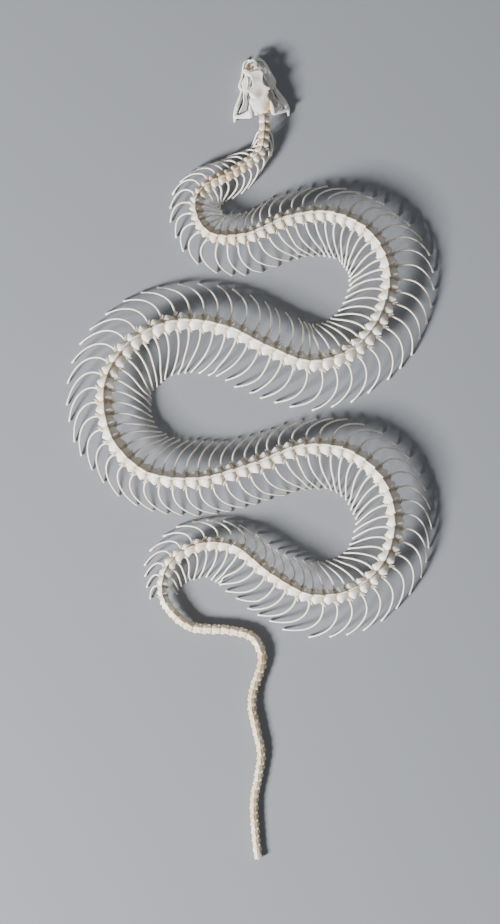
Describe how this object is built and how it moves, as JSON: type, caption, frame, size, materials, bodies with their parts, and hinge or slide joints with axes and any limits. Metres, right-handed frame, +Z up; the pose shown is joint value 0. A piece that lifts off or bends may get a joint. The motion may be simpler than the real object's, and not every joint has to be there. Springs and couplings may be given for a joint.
{
  "type": "snake skeleton",
  "caption": "Still skeleton of a pit viper lying in winding bends: broad skull with loose jaws, neck, ribbed trunk in lengths with left and right sides, and a ribless tail",
  "frame": {"origin": "middle of the skeleton's plan, on the surface that it lies on", "axes": "+Z up from the floor, +Y towards the head end of the layout, +X to the right seen from above with the head away from the viewer"},
  "size_m": [0.1864, 0.402, 0.0157],
  "materials": {
    "skull_bone": "matt cream-white bone with tan stains",
    "trunk_bone": "matt cream-white bone, tan in the hollows",
    "tail_bone": "matt yellowish bone"
  },
  "bodies": {
    "root": {"cranium": "skull_bone", "snout": "skull_bone", "prefrontal_left": "skull_bone", "postorbital_left": "skull_bone", "maxilla_left": "skull_bone", "ectopterygoid_left": "skull_bone", "pterygoid_left": "skull_bone", "supratemporal_left": "skull_bone", "quadrate_left": "skull_bone", "mandible_left": "skull_bone", "prefrontal_right": "skull_bone", "postorbital_right": "skull_bone", "maxilla_right": "skull_bone", "ectopterygoid_right": "skull_bone", "pterygoid_right": "skull_bone", "supratemporal_right": "skull_bone", "quadrate_right": "skull_bone", "mandible_right": "skull_bone", "neck_left": "trunk_bone", "neck_right": "trunk_bone", "trunk_01_left": "trunk_bone", "trunk_01_right": "trunk_bone", "trunk_02_left": "trunk_bone", "trunk_02_right": "trunk_bone", "trunk_03_left": "trunk_bone", "trunk_03_right": "trunk_bone", "trunk_04_left": "trunk_bone", "trunk_04_right": "trunk_bone", "trunk_05_left": "trunk_bone", "trunk_05_right": "trunk_bone", "trunk_06_left": "trunk_bone", "trunk_06_right": "trunk_bone", "trunk_07_left": "trunk_bone", "trunk_07_right": "trunk_bone", "trunk_08_left": "trunk_bone", "trunk_08_right": "trunk_bone", "trunk_09_left": "trunk_bone", "trunk_09_right": "trunk_bone", "trunk_10_left": "trunk_bone", "trunk_10_right": "trunk_bone", "trunk_11_left": "trunk_bone", "trunk_11_right": "trunk_bone", "trunk_12_left": "trunk_bone", "trunk_12_right": "trunk_bone", "trunk_13_left": "trunk_bone", "trunk_13_right": "trunk_bone", "trunk_14_left": "trunk_bone", "trunk_14_right": "trunk_bone", "trunk_15_left": "trunk_bone", "trunk_15_right": "trunk_bone", "trunk_16_left": "trunk_bone", "trunk_16_right": "trunk_bone", "trunk_17_left": "trunk_bone", "trunk_17_right": "trunk_bone", "tail_1": "tail_bone", "tail_2": "tail_bone", "tail_3": "tail_bone", "tail_4": "tail_bone"}
  },
  "joints": []
}
